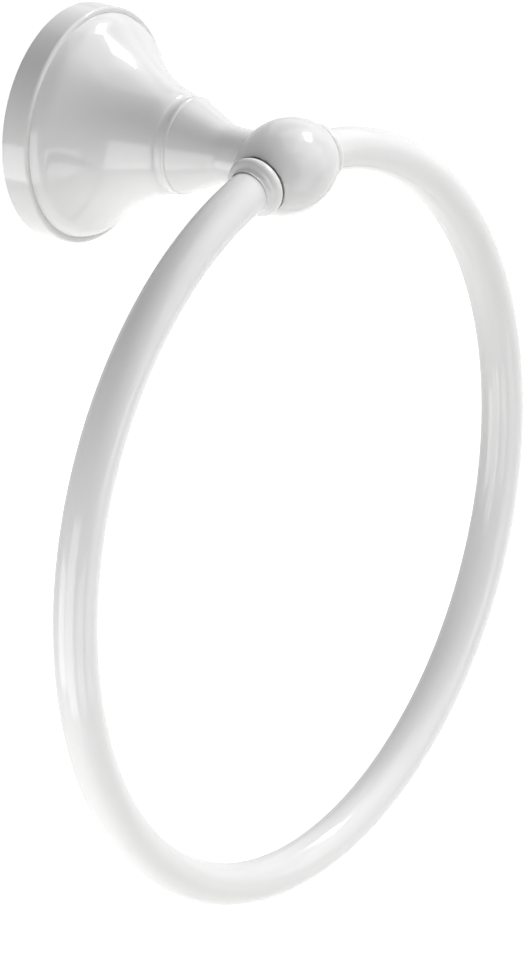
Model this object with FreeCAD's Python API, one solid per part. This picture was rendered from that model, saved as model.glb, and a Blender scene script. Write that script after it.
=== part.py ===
"""Wall mounted towel ring: a cast post with a round hub, and an open tube ring held by two bead collars.

Millimetres. The origin is the centre of the post's back face, on the wall. +Z is up, +Y points into the
wall, and the post stands out along -Y.
"""
import FreeCAD, Part
import math
import os

# Ring
ring_radius = 81.5
tube_diameter = 9.5
tube_wall = 1.0

# Reach of the post, from the wall to the plane of the ring
projection = 56.1

# Rim of the post, against the wall
rim_radius = 26.0
rim_height = 6.3
rim_round = 0.8
rim_land = 0.25
rim_line = 0.3
casting_wall = 2.8

# Bell: a convex shoulder that turns into a concave flare, and ends at the groove
shoulder_radius = 9.0
shoulder_slope = 18.0
flare_slope = 13.5
throat_radius = 11.0

# Groove and bead between the bell and the neck, placed by their distance behind the hub's centre
groove_offset = 27.5
groove_width = 2.0
groove_depth = 0.35
bead_radius = 10.6
bead_width = 1.0
bead_height = 0.25

# Neck: a rounded shoulder, a straight taper and a short cylinder that enters the hub
neck_top_radius = 10.4
neck_top_slope = 14.0
neck_shoulder_radius = 5.0
neck_taper = 24.5
neck_blend_radius = 8.0
neck_radius = 6.15
neck_fillet = 0.9

# Hub: an egg that lies along the ring, cut square to the tube at both ends
hub_radius = 10.3
hub_half_axis = 13.2
hub_seat_distance = 10.2
socket_end_distance = 3.2
socket_clearance = 0.1

# Bead collars on the ring's ends
collar_base_radius = 5.9
collar_base_width = 0.35
collar_bead_radius = 6.4
collar_bead_width = 2.1
collar_bead_bulge = 0.75
collar_waist_radius = 5.4
collar_cove_width = 1.85
collar_cove_depth = 0.2
collar_edge_height = 0.15
braze_gap = 0.05

# Wall bracket, pressed from sheet, as tall as the post's hollow less a gap at each wing's end
bracket_sheet = 1.8
bracket_width = 26.0
bracket_hollow_gap = 7.2
bracket_wing_reach = 5.0
bracket_wing_slope = 45.0
bracket_bend_radius = 1.0
bracket_corner_radius = 3.0
bracket_hole_diameter = 4.5
bracket_hole_spacing = 15.0

# Hook lug and screw boss, cast inside the rim
lug_width = 12.0
lug_wall_distance = 1.1
lug_front_distance = 4.6
boss_width = 7.0
boss_wall_distance = 0.6
boss_front_distance = 5.2
boss_bracket_gap = 2.6

# Grub screw, with a point that matches the bracket's wing
screw_diameter = 3.0
screw_wall_distance = 2.9
screw_recess = 0.6
screw_point_gap = 0.05
screw_socket_width = 1.5
screw_socket_depth = 1.6
screw_end_chamfer = 0.3

ORIGIN = FreeCAD.Vector(0, 0, 0)
X_AXIS = FreeCAD.Vector(1, 0, 0)
Y_AXIS = FreeCAD.Vector(0, 1, 0)
Z_AXIS = FreeCAD.Vector(0, 0, 1)

tube_radius = tube_diameter / 2
hub_centre = FreeCAD.Vector(0, -projection, 0)
ring_centre = FreeCAD.Vector(0, -projection, -ring_radius)
groove_station = projection - groove_offset
hollow_radius = rim_radius - casting_wall
bracket_half_height = hollow_radius - bracket_hollow_gap


class Outline:
    """Half the section of a turned piece, drawn edge by edge from its back to its front.

    A point is a distance along the piece's axis and a radius from it. The axis runs along -Y, and the
    section lies in the XY plane. A slope is how steeply the outline falls towards the axis, in degrees:
    0 runs along the axis and 90 straight towards it.
    """

    def __init__(self, distance, radius):
        self.distance = distance
        self.radius = radius
        self.edges = []

    def point(self, distance, radius):
        return FreeCAD.Vector(radius, -distance, 0)

    def line_to(self, distance, radius):
        start = self.point(self.distance, self.radius)
        end = self.point(distance, radius)
        self.edges.append(Part.LineSegment(start, end).toShape())
        self.distance = distance
        self.radius = radius

    def arc_to(self, distance, radius, middle_distance, middle_radius):
        start = self.point(self.distance, self.radius)
        middle = self.point(middle_distance, middle_radius)
        end = self.point(distance, radius)
        self.edges.append(Part.Arc(start, middle, end).toShape())
        self.distance = distance
        self.radius = radius

    def bulge_to(self, distance, radius, height):
        """Draw an arc whose middle stands out from its chord by height, outwards where it is positive."""
        run = distance - self.distance
        rise = radius - self.radius
        chord = math.hypot(run, rise)
        middle_distance = (self.distance + distance) / 2 - height * rise / chord
        middle_radius = (self.radius + radius) / 2 + height * run / chord
        self.arc_to(distance, radius, middle_distance, middle_radius)

    def convex(self, arc_radius, from_slope, to_slope):
        """Draw a rounded shoulder, whose slope grows from one angle to the other."""
        self.bend(arc_radius, from_slope, to_slope, 1)

    def concave(self, arc_radius, from_slope, to_slope):
        """Draw a cove, whose slope falls from one angle to the other."""
        self.bend(arc_radius, from_slope, to_slope, -1)

    def bend(self, arc_radius, from_slope, to_slope, side):
        centre_distance = self.distance - side * arc_radius * sin_deg(from_slope)
        centre_radius = self.radius - side * arc_radius * cos_deg(from_slope)
        middle_slope = (from_slope + to_slope) / 2
        middle_distance = centre_distance + side * arc_radius * sin_deg(middle_slope)
        middle_radius = centre_radius + side * arc_radius * cos_deg(middle_slope)
        end_distance = centre_distance + side * arc_radius * sin_deg(to_slope)
        end_radius = centre_radius + side * arc_radius * cos_deg(to_slope)
        self.arc_to(end_distance, end_radius, middle_distance, middle_radius)

    def revolve(self):
        """Turn the closed outline into a solid."""
        face = Part.Face(Part.Wire(self.edges))
        return face.revolve(ORIGIN, Y_AXIS, 360)


def sin_deg(angle):
    return math.sin(math.radians(angle))


def cos_deg(angle):
    return math.cos(math.radians(angle))


def tan_deg(angle):
    return math.tan(math.radians(angle))


def draw_bell(outline, inset):
    """Draw the bell's shoulder and flare, parallel to the outer face and inset from it.

    Both arcs are tangent where they meet, so the flare's radius follows from the two ends of the bell, the
    slopes there and the shoulder's radius.
    """
    start_distance, start_radius = bell_start(inset)
    end_distance, end_radius = bell_end(inset)
    convex_radius = shoulder_radius - inset
    centre_distance = start_distance - convex_radius * sin_deg(shoulder_slope)
    centre_radius = start_radius - convex_radius * cos_deg(shoulder_slope)
    run = end_distance - centre_distance
    rise = end_radius - centre_radius
    along = run * sin_deg(flare_slope) + rise * cos_deg(flare_slope)
    concave_radius = (run ** 2 + rise ** 2 - convex_radius ** 2) / (2 * (convex_radius - along))
    flare_run = end_distance + concave_radius * sin_deg(flare_slope) - centre_distance
    flare_rise = end_radius + concave_radius * cos_deg(flare_slope) - centre_radius
    meeting_slope = math.degrees(math.atan2(flare_run, flare_rise))
    outline.convex(convex_radius, shoulder_slope, meeting_slope)
    outline.concave(concave_radius, meeting_slope, flare_slope)


def bell_start(inset):
    """The bell's first point, just behind the rim's front face."""
    distance = rim_height - rim_line - inset * sin_deg(shoulder_slope)
    radius = rim_radius - rim_round - rim_land - rim_line - inset * cos_deg(shoulder_slope)
    return distance, radius


def bell_end(inset):
    """The bell's last point, at the groove."""
    distance = groove_station - inset * sin_deg(flare_slope)
    radius = throat_radius - inset * cos_deg(flare_slope)
    return distance, radius


def post_body():
    """The turned form of the post, from the wall to the middle of the hub."""
    outline = Outline(0, 0)
    outline.line_to(0, rim_radius)
    outline.line_to(rim_height - rim_round, rim_radius)
    outline.convex(rim_round, 0, 90)
    outline.line_to(rim_height, rim_radius - rim_round - rim_land)
    outline.line_to(*bell_start(0))
    draw_bell(outline, 0)
    groove_end = groove_station + groove_width
    outline.bulge_to(groove_end, bead_radius, -groove_depth)
    outline.bulge_to(groove_end + bead_width, neck_top_radius, bead_height)
    outline.convex(neck_shoulder_radius, neck_top_slope, neck_taper)
    blend_start = neck_radius + neck_blend_radius * (1 - cos_deg(neck_taper))
    taper_run = (outline.radius - blend_start) / tan_deg(neck_taper)
    outline.line_to(outline.distance + taper_run, blend_start)
    outline.concave(neck_blend_radius, neck_taper, 0)
    outline.line_to(projection, neck_radius)
    outline.line_to(projection, 0)
    outline.line_to(0, 0)
    return outline.revolve()


def post_hollow():
    """The space behind the casting's wall, open towards the wall of the room."""
    start_distance, start_radius = bell_start(casting_wall)
    outline = Outline(0, 0)
    outline.line_to(0, hollow_radius)
    outline.line_to(start_distance - (hollow_radius - start_radius), hollow_radius)
    outline.line_to(start_distance, start_radius)
    draw_bell(outline, casting_wall)
    end_distance, end_radius = bell_end(casting_wall)
    outline.line_to(end_distance, 0)
    outline.line_to(0, 0)
    return outline.revolve()


def arc_angle(distance):
    """The angle that a length along the ring's centreline covers, in degrees."""
    return math.degrees(distance / ring_radius)


def along_ring(shape, distance):
    """Move a shape that faces +X from the origin to a place on the ring's right half, facing along it."""
    angle = arc_angle(distance)
    placed = shape.copy()
    placed.rotate(ORIGIN, Y_AXIS, angle)
    x = ring_radius * sin_deg(angle)
    z = ring_radius * (cos_deg(angle) - 1)
    placed.translate(hub_centre + FreeCAD.Vector(x, 0, z))
    return placed


def mirrored(shape):
    """The same shape on the other side of the post."""
    return shape.mirror(ORIGIN, X_AXIS)


def ring_rod(radius, start_distance, end_distance):
    """A round bar along the ring's centreline, between two lengths measured from the ring's top."""
    start_angle = arc_angle(start_distance)
    circle = Part.Circle(hub_centre, X_AXIS, radius).toShape()
    disc = Part.Face(Part.Wire([circle]))
    disc.rotate(ring_centre, Y_AXIS, start_angle)
    return disc.revolve(ring_centre, Y_AXIS, arc_angle(end_distance) - start_angle)


def make_hub_egg():
    """The hub before its sockets are cut: an egg with both tips cut square to the ring."""
    ellipse = Part.Ellipse(ORIGIN, hub_half_axis, hub_radius)
    half = Part.Arc(ellipse, 0, math.pi).toShape()
    left_tip = FreeCAD.Vector(-hub_half_axis, 0, 0)
    right_tip = FreeCAD.Vector(hub_half_axis, 0, 0)
    axis_line = Part.LineSegment(left_tip, right_tip).toShape()
    egg = Part.Face(Part.Wire([half, axis_line])).revolve(ORIGIN, X_AXIS, 360)
    egg.translate(hub_centre)
    beyond_seat = Part.makeCylinder(2 * hub_radius, hub_half_axis, ORIGIN, X_AXIS)
    tip = along_ring(beyond_seat, hub_seat_distance)
    return egg.cut(tip).cut(mirrored(tip))


def hub_socket():
    """The curved bore in the hub's right end that the tube's end fits in."""
    return ring_rod(tube_radius + socket_clearance, socket_end_distance, 2 * hub_seat_distance)


def is_on_neck_corner(point):
    """Whether a point lies where the neck's cylinder enters the egg."""
    neck_error = math.hypot(point.x, point.z) - neck_radius
    across = math.hypot(point.y + projection, point.z)
    egg_error = (point.x / hub_half_axis) ** 2 + (across / hub_radius) ** 2 - 1
    return abs(neck_error) < 0.01 and abs(egg_error) < 0.01 and point.y > -projection


def round_neck_corner(body):
    """Round the corner where the neck runs into the hub."""
    corner = []
    for edge in body.Edges:
        middle = edge.valueAt((edge.FirstParameter + edge.LastParameter) / 2)
        if is_on_neck_corner(middle):
            corner.append(edge)
    return body.makeFillet(neck_fillet, corner)


def bar_across(corners, width):
    """A bar across the post, from the corners of its section as (distance from the wall, height)."""
    points = [FreeCAD.Vector(-width / 2, -distance, height) for distance, height in corners]
    section = Part.Face(Part.makePolygon(points + [points[0]]))
    return section.extrude(FreeCAD.Vector(width, 0, 0))


def wing_height(distance):
    """How far above or below the centre the back of a bracket wing is, at a distance from the wall."""
    return bracket_half_height - (bracket_wing_reach - distance) / tan_deg(bracket_wing_slope)


def make_hook_lug():
    """The lug inside the top of the rim, whose sloping underside hooks behind the upper wing."""
    root_height = rim_radius - casting_wall / 2
    corners = [
        (lug_wall_distance, wing_height(lug_wall_distance)),
        (lug_front_distance, wing_height(lug_front_distance)),
        (lug_front_distance, root_height),
        (lug_wall_distance, root_height),
    ]
    return bar_across(corners, lug_width)


def make_screw_boss():
    """The block inside the bottom of the rim that the grub screw runs through."""
    root_height = rim_radius - casting_wall / 2
    inner_height = bracket_half_height + boss_bracket_gap
    corners = [
        (boss_wall_distance, -inner_height),
        (boss_front_distance, -inner_height),
        (boss_front_distance, -root_height),
        (boss_wall_distance, -root_height),
    ]
    return bar_across(corners, boss_width)


def make_post():
    """The casting: rim, bell, neck and hub in one, with its hollow, lug, boss and sockets."""
    body = post_body().fuse(make_hub_egg())
    body = round_neck_corner(body)
    body = body.cut(post_hollow())
    body = body.fuse([make_hook_lug(), make_screw_boss()])
    hole_start = FreeCAD.Vector(0, -screw_wall_distance, -rim_radius - casting_wall)
    screw_hole = Part.makeCylinder(screw_diameter / 2, rim_radius, hole_start, Z_AXIS)
    socket = hub_socket()
    body = body.cut([screw_hole, socket, mirrored(socket)])
    return body.removeSplitter()


def make_ring():
    """The bent tube, an open circle with its two ends inside the hub."""
    circumference = 2 * math.pi * ring_radius
    end_distance = circumference - socket_end_distance
    rod = ring_rod(tube_radius, socket_end_distance, end_distance)
    bore = ring_rod(tube_radius - tube_wall, socket_end_distance, end_distance)
    return rod.cut(bore)


def make_right_collar():
    """A turned collar: a base on the hub's flat end, a fat bead, and a cove that runs out to the tube."""
    bead_end = collar_base_width + collar_bead_width
    collar_end = bead_end + collar_cove_width
    outline = Outline(0, 0)
    outline.line_to(0, collar_base_radius)
    outline.line_to(collar_base_width, collar_base_radius)
    outline.line_to(collar_base_width, collar_bead_radius)
    outline.bulge_to(bead_end, collar_waist_radius, collar_bead_bulge)
    outline.bulge_to(collar_end, tube_radius + collar_edge_height, -collar_cove_depth)
    outline.line_to(collar_end, 0)
    outline.line_to(0, 0)
    turned = outline.revolve()
    turned.rotate(ORIGIN, Z_AXIS, 90)
    collar = along_ring(turned, hub_seat_distance)
    bore = ring_rod(tube_radius + braze_gap, 0, 2 * (hub_seat_distance + collar_end))
    return collar.cut(bore)


def bracket_section():
    """The bent sheet's section as (distance from the wall, height), from the lower wing to the upper."""
    front_distance = bracket_wing_reach + bracket_sheet * cos_deg(bracket_wing_slope)
    front_height = bracket_half_height - bracket_sheet * sin_deg(bracket_wing_slope)
    inner_bend = wing_height(0) - bracket_sheet * tan_deg(bracket_wing_slope / 2)
    upper = [
        (0, wing_height(0)),
        (bracket_wing_reach, bracket_half_height),
        (front_distance, front_height),
        (bracket_sheet, inner_bend),
    ]
    lower = [(distance, -height) for distance, height in reversed(upper)]
    return upper + lower


def bend_edges(sheet, distance):
    """The sharp edges across the sheet, at one distance from the wall."""
    found = []
    for edge in sheet.Edges:
        box = edge.BoundBox
        if box.XLength > bracket_width / 2 and abs(box.Center.y + distance) < 0.001:
            found.append(edge)
    return found


def make_bracket():
    """The pressed plate: a web against the wall, and a wing above and below that stands off it."""
    sheet = bar_across(bracket_section(), bracket_width)
    sheet = sheet.makeFillet(bracket_bend_radius + bracket_sheet, bend_edges(sheet, 0))
    sheet = sheet.makeFillet(bracket_bend_radius, bend_edges(sheet, bracket_sheet))
    depth = bracket_wing_reach + bracket_sheet
    corner = FreeCAD.Vector(-bracket_width / 2, -depth, -bracket_half_height)
    blank = Part.makeBox(bracket_width, depth, 2 * bracket_half_height, corner)
    blank = blank.makeFillet(bracket_corner_radius, edges_along_y(blank))
    bracket = sheet.common(blank)
    for side in (-1, 1):
        start = FreeCAD.Vector(side * bracket_hole_spacing / 2, 0, 0)
        hole = Part.makeCylinder(bracket_hole_diameter / 2, bracket_sheet, start, -Y_AXIS)
        bracket = bracket.cut(hole)
    return bracket


def edges_along_y(shape):
    """The edges of a block that run along Y."""
    found = []
    for edge in shape.Edges:
        if edge.BoundBox.YLength > edge.Length / 2:
            found.append(edge)
    return found


def make_set_screw():
    """The grub screw, from just inside the rim's surface to the back of the lower wing."""
    radius = screw_diameter / 2
    outer_height = rim_radius - screw_recess
    length = outer_height - wing_height(screw_wall_distance) - screw_point_gap
    outline = Outline(0, 0)
    outline.line_to(0, radius - screw_end_chamfer)
    outline.line_to(screw_end_chamfer, radius)
    outline.line_to(length - radius / tan_deg(bracket_wing_slope), radius)
    outline.line_to(length, 0)
    outline.line_to(0, 0)
    screw = outline.revolve()
    socket_radius = screw_socket_width / 2 / cos_deg(30)
    corners = []
    for index in range(7):
        angle = 60 * index
        corners.append(FreeCAD.Vector(socket_radius * cos_deg(angle), 0, socket_radius * sin_deg(angle)))
    hexagon = Part.Face(Part.makePolygon(corners))
    screw = screw.cut(hexagon.extrude(-Y_AXIS * screw_socket_depth))
    screw.rotate(ORIGIN, X_AXIS, -90)
    screw.translate(FreeCAD.Vector(0, -screw_wall_distance, -outer_height))
    return screw


def main():
    os.makedirs("parts", exist_ok=True)
    collar_right = make_right_collar()
    pieces = {
        "post": make_post(),
        "ring": make_ring(),
        "collar_left": mirrored(collar_right),
        "collar_right": collar_right,
        "wall_bracket": make_bracket(),
        "set_screw": make_set_screw(),
    }
    for name, shape in pieces.items():
        shape.exportStep("parts/" + name + ".step")
        print(name, "solids", len(shape.Solids), "valid", shape.isValid(), "mm3", round(shape.Volume, 1))


main()
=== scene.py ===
"""Looks of a wall mounted towel ring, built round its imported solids.

Metres, in the part's own frame: the origin is the centre of the post's back face, +Z is up, +Y points into
the wall, and the post stands out along -Y.
"""
import logging
import math
from collections.abc import Callable
from dataclasses import dataclass
from enum import Enum
from typing import Any

import bpy
from mathutils import Matrix, Vector


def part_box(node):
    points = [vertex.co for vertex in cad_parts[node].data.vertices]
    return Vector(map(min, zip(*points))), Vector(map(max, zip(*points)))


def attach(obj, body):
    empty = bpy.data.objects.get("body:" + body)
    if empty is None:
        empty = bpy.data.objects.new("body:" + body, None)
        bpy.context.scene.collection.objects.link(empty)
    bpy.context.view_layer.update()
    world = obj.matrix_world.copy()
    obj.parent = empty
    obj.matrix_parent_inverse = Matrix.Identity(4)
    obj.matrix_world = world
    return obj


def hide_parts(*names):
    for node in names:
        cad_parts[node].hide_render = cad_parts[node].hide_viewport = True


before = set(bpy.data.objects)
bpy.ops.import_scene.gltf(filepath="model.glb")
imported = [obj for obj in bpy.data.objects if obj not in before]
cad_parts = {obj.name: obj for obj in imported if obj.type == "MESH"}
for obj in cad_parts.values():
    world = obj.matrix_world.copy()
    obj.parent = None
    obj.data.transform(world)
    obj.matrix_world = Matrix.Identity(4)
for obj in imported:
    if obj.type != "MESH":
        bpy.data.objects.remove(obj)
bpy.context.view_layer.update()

LOG = logging.getLogger("towel_ring")
MM = 0.001
MERGE_DISTANCE = 0.001 * MM
SEAT_TOLERANCE = 0.01 * MM
# The least cosine between two directions that count as one.
SAME_WAY = 0.99
SHADED_CORNER = math.radians(35.0)
SOFTENED_CORNER = math.radians(40.0)
ORIGIN = Vector((0.0, 0.0, 0.0))
ALONG_Y = Vector((0.0, 1.0, 0.0))
ALONG_Z = Vector((0.0, 0.0, 1.0))
WHOLE_OBJECT = (0.0, -40.0 * MM, -60.0 * MM)
LOWER_RING = (0.0, -56.0 * MM, -150.0 * MM)
WHITE = "#FFFFFF"
# The Mix node's sockets for colours share their names with others, so they are taken by number.
MIX_COLOUR_INPUTS = (6, 7)
MIX_COLOUR_OUTPUT = 2
# How far apart the bands of the Wave node are at a scale of 1.
WAVE_SPACING = math.tau / 20
Point = tuple[float, float]
Piece = bpy.types.Object
Material = bpy.types.Material
Tree = bpy.types.NodeTree
Socket = bpy.types.NodeSocket


class Bend(Enum):
    """Which way an arc of a turned section curves."""

    CONVEX = 1
    CONCAVE = -1


class Side(Enum):
    """A side of the post, as the sign of X."""

    LEFT = -1
    RIGHT = 1


def linear_colour(code: str) -> tuple[float, float, float, float]:
    """Turn an sRGB hex colour into linear light.

    Args:
        code: The colour, such as "#F2F2F0".

    Returns:
        Red, green, blue and an alpha of 1.
    """
    channels = [int(code[start:start + 2], 16) / 255 for start in (1, 3, 5)]
    linear = [c / 12.92 if c <= 0.04045 else ((c + 0.055) / 1.055) ** 2.4 for c in channels]
    return (linear[0], linear[1], linear[2], 1.0)


def add_node(
    tree: Tree,
    kind: str,
    settings: dict[str, Any] | None = None,
    links: dict[str, Socket] | None = None,
) -> bpy.types.Node:
    """Add a node to a tree, with its settings and its incoming links.

    Args:
        tree: The node tree that takes the node.
        kind: The node's type, such as "ShaderNodeBump".
        settings: Values by the name of an input, or of a property where no input has that name.
        links: Outputs of other nodes, by the name of the input that each one feeds.

    Returns:
        The new node.
    """
    node = tree.nodes.new(kind)
    for name, value in (settings or {}).items():
        if name in node.inputs:
            node.inputs[name].default_value = value
        else:
            setattr(node, name, value)
    for name, source in (links or {}).items():
        tree.links.new(source, node.inputs[name])
    return node


def empty_material(name: str) -> tuple[Material, Tree]:
    """Make a material with no nodes, and give it with its node tree."""
    material = bpy.data.materials.new(name)
    material.use_nodes = True
    material.node_tree.nodes.clear()
    return material, material.node_tree


def per_metre(size_mm: float) -> float:
    """The scale of a pattern on Object coordinates whose features are that many millimetres across."""
    return 1.0 / (size_mm * MM)


@dataclass(frozen=True)
class Finish:
    """A skin whose tone and gloss drift together in soft clouds, over the fine relief of its making.

    A pair of values runs from the clouds' lows to their highs.
    """

    name: str
    colours: tuple[str, str]
    roughness: tuple[float, float]
    cloud_mm: float
    relief_depth_mm: float
    cloud_detail: float = 3.0
    relief_strength: float = 0.3
    optics: tuple[tuple[str, float], ...] = (("Metallic", 1.0),)

    def relief(self, tree: Tree, place: Socket, cloud: Socket) -> Socket:
        """The height of the relief, which is that of the clouds where the making left no other."""
        return cloud

    def material(self) -> Material:
        """Build the finish.

        Returns:
            A material with the finish's name.
        """
        material, tree = empty_material(self.name)
        place = add_node(tree, "ShaderNodeTexCoord").outputs["Object"]
        noise = {"Scale": per_metre(self.cloud_mm), "Detail": self.cloud_detail}
        cloud = add_node(tree, "ShaderNodeTexNoise", noise, {"Vector": place}).outputs["Fac"]
        tone = add_node(tree, "ShaderNodeMix", {"data_type": "RGBA"}, {"Factor": cloud})
        for index, colour in zip(MIX_COLOUR_INPUTS, self.colours):
            tone.inputs[index].default_value = linear_colour(colour)
        limits = dict(zip(("To Min", "To Max"), self.roughness))
        gloss = add_node(tree, "ShaderNodeMapRange", limits, {"Value": cloud})
        depth = {"Strength": self.relief_strength, "Distance": self.relief_depth_mm * MM}
        bump = add_node(tree, "ShaderNodeBump", depth, {"Height": self.relief(tree, place, cloud)})
        shader = add_node(tree, "ShaderNodeBsdfPrincipled", dict(self.optics),
                          {"Base Color": tone.outputs[MIX_COLOUR_OUTPUT],
                           "Roughness": gloss.outputs["Result"], "Normal": bump.outputs["Normal"]})
        add_node(tree, "ShaderNodeOutputMaterial", links={"Surface": shader.outputs["BSDF"]})
        return material


@dataclass(frozen=True)
class Enamel(Finish):
    """Gloss enamel, sprayed and oven cured on metal: an even hard skin with a faint orange peel.

    It gives the eye a clean white body under a sharp, slightly wavy reflection.
    """

    roughness: tuple[float, float] = (0.09, 0.13)
    cloud_mm: float = 18.0
    relief_depth_mm: float = 0.004
    cloud_detail: float = 2.0
    relief_strength: float = 0.35
    optics: tuple[tuple[str, float], ...] = (("IOR", 1.52),)
    peel_mm: float = 2.2

    def relief(self, tree: Tree, place: Socket, cloud: Socket) -> Socket:
        """The height of the orange peel."""
        peel = {"Scale": per_metre(self.peel_mm), "Detail": 1.0}
        return add_node(tree, "ShaderNodeTexNoise", peel, {"Vector": place}).outputs["Fac"]


@dataclass(frozen=True)
class JointShadePaint(Finish):
    """Near-black rough metal that is painted shade in a joint's crevice, standing in for the shadow there: it
    makes the joint a fine dark line.
    """

    name: str = "painted_joint_shade"
    colours: tuple[str, str] = ("#1E1F1E", "#343634")
    roughness: tuple[float, float] = (0.5, 0.75)
    cloud_mm: float = 0.8
    relief_depth_mm: float = 0.02
    optics: tuple[tuple[str, float], ...] = (("Metallic", 0.4),)


@dataclass(frozen=True)
class ZincPlate(Finish):
    """Bright zinc plate on cold rolled sheet: the roller's fine lines show through a bluish cloudy skin."""

    name: str = "bright_zinc_plate"
    colours: tuple[str, str] = ("#A9AEB2", "#C9CDD0")
    roughness: tuple[float, float] = (0.24, 0.42)
    cloud_mm: float = 3.0
    relief_depth_mm: float = 0.01
    cloud_detail: float = 4.0
    line_mm: float = 0.25
    line_stretch: float = 30.0

    def relief(self, tree: Tree, place: Socket, cloud: Socket) -> Socket:
        """The height of the rolling lines, which run along X."""
        stretch = {"Scale": (1.0 / self.line_stretch, 1.0, 1.0)}
        along = add_node(tree, "ShaderNodeMapping", stretch, {"Vector": place}).outputs["Vector"]
        lines = {"Scale": per_metre(self.line_mm), "Detail": 2.0}
        return add_node(tree, "ShaderNodeTexNoise", lines, {"Vector": along}).outputs["Fac"]


@dataclass(frozen=True)
class StainlessSteel(Finish):
    """Turned stainless steel: a neutral grey metal with the tool's rings across its length.

    Real rings are about 0.1 mm apart, too fine to show, so they are drawn coarser.
    """

    name: str = "turned_stainless_steel"
    colours: tuple[str, str] = ("#8E8D8A", "#B4B3AF")
    roughness: tuple[float, float] = (0.22, 0.4)
    cloud_mm: float = 1.0
    relief_depth_mm: float = 0.005
    relief_strength: float = 0.2
    ring_mm: float = 0.754

    def relief(self, tree: Tree, place: Socket, cloud: Socket) -> Socket:
        """The height of the turning rings, which lie across Z."""
        scale = per_metre(self.ring_mm) * WAVE_SPACING
        rings = {"bands_direction": "Z", "Scale": scale, "Distortion": 1.0}
        return add_node(tree, "ShaderNodeTexWave", rings, {"Vector": place}).outputs["Fac"]


def dress(piece: Piece, material: Material) -> None:
    """Put one material on every slot of a piece."""
    if not piece.material_slots:
        piece.data.materials.append(material)
    for slot in piece.material_slots:
        slot.material = material


def dress_faces(piece: Piece, material: Material, picked: Callable[[bpy.types.MeshPolygon], bool]) -> None:
    """Put a second material on some faces of a dressed piece.

    Args:
        piece: The piece, in object mode.
        material: The material of the picked faces.
        picked: Says of a face whether it gets the material.
    """
    if material.name not in piece.data.materials:
        piece.data.materials.append(material)
    index = piece.data.materials.find(material.name)
    for face in piece.data.polygons:
        if picked(face):
            face.material_index = index


def deselect_objects() -> None:
    """Leave no object selected, so that the next operator acts on its own piece alone."""
    if bpy.context.mode != "OBJECT":
        bpy.ops.object.mode_set(mode="OBJECT")
    bpy.ops.object.select_all(action="DESELECT")


def choose(piece: Piece) -> None:
    """Make a piece the active one and the only one selected, in object mode."""
    deselect_objects()
    piece.select_set(True)
    bpy.context.view_layer.objects.active = piece


def edit_all() -> None:
    """Enter edit mode on the active piece with all of it selected."""
    bpy.ops.object.mode_set(mode="EDIT")
    bpy.ops.mesh.select_mode(type="VERT")
    bpy.ops.mesh.select_all(action="SELECT")


def edit_picked(piece: Piece, kind: str, picked: Callable[[Any], bool]) -> None:
    """Enter edit mode on the active piece with only some of its edges or faces selected.

    Args:
        piece: The active piece, in either mode.
        kind: "EDGE" or "FACE".
        picked: Says of an edge or a face whether it is selected.
    """
    edit_all()
    bpy.ops.mesh.select_all(action="DESELECT")
    bpy.ops.mesh.select_mode(type=kind)
    bpy.ops.object.mode_set(mode="OBJECT")
    for part in piece.data.edges if kind == "EDGE" else piece.data.polygons:
        part.select = picked(part)
    bpy.ops.object.mode_set(mode="EDIT")


def add_primitive(name: str, operator: Callable[..., set[str]], **settings: Any) -> Piece:
    """Add a primitive mesh, and work its place, turn and scale into its points.

    Args:
        name: The new piece's name.
        operator: The operator that adds it, such as bpy.ops.mesh.primitive_cube_add.
        settings: The operator's own settings.

    Returns:
        The piece, active and in object mode.
    """
    deselect_objects()
    operator(**settings)
    piece = bpy.context.active_object
    piece.name = piece.data.name = name
    bpy.ops.object.transform_apply(location=True, rotation=True, scale=True)
    return piece


def apply_modifier(piece: Piece, kind: str, **settings: Any) -> None:
    """Give a piece a modifier and apply it.

    Args:
        piece: The piece that is changed.
        kind: The modifier's type, such as "BEVEL".
        settings: The modifier's own settings.
    """
    choose(piece)
    modifier = piece.modifiers.new(kind, kind)
    for name, value in settings.items():
        setattr(modifier, name, value)
    bpy.ops.object.modifier_apply(modifier=modifier.name)


def finish_mesh(piece: Piece) -> None:
    """Merge a piece's doubles, point its faces outwards, and shade it smooth between its corners.

    Args:
        piece: The piece, in edit or object mode.
    """
    choose(piece)
    edit_all()
    bpy.ops.mesh.remove_doubles(threshold=MERGE_DISTANCE)
    bpy.ops.mesh.normals_make_consistent(inside=False)
    bpy.ops.object.mode_set(mode="OBJECT")
    bpy.ops.object.transform_apply(location=True, rotation=True, scale=True)
    bpy.ops.object.shade_smooth_by_angle(angle=SHADED_CORNER)


def draw_wire(name: str, points: list[Vector]) -> Piece:
    """Draw an open wire by extruding a single vertex from point to point.

    Args:
        name: The new piece's name.
        points: The places that the wire runs through.

    Returns:
        The piece, active and in edit mode, with all of it selected.
    """
    piece = add_primitive(name, bpy.ops.mesh.primitive_plane_add, size=MM)
    edit_all()
    bpy.ops.mesh.merge(type="CENTER")
    bpy.ops.transform.translate(value=points[0])
    for before, after in zip(points, points[1:]):
        bpy.ops.mesh.extrude_vertices_move(TRANSFORM_OT_translate={"value": after - before})
    bpy.ops.mesh.select_all(action="SELECT")
    return piece


def turn_wire(name: str, points: list[Vector], steps: int, centre: Vector, axis: Vector) -> Piece:
    """Turn a wire a full round into a solid.

    Args:
        name: The new piece's name.
        points: The places that the wire runs through.
        steps: How many straight stretches stand for the round.
        centre: A place on the axis.
        axis: The axis's direction.

    Returns:
        The solid, active and in object mode.
    """
    piece = draw_wire(name, points)
    bpy.ops.mesh.spin(steps=steps, angle=math.tau, center=centre, axis=axis)
    finish_mesh(piece)
    return piece


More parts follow.
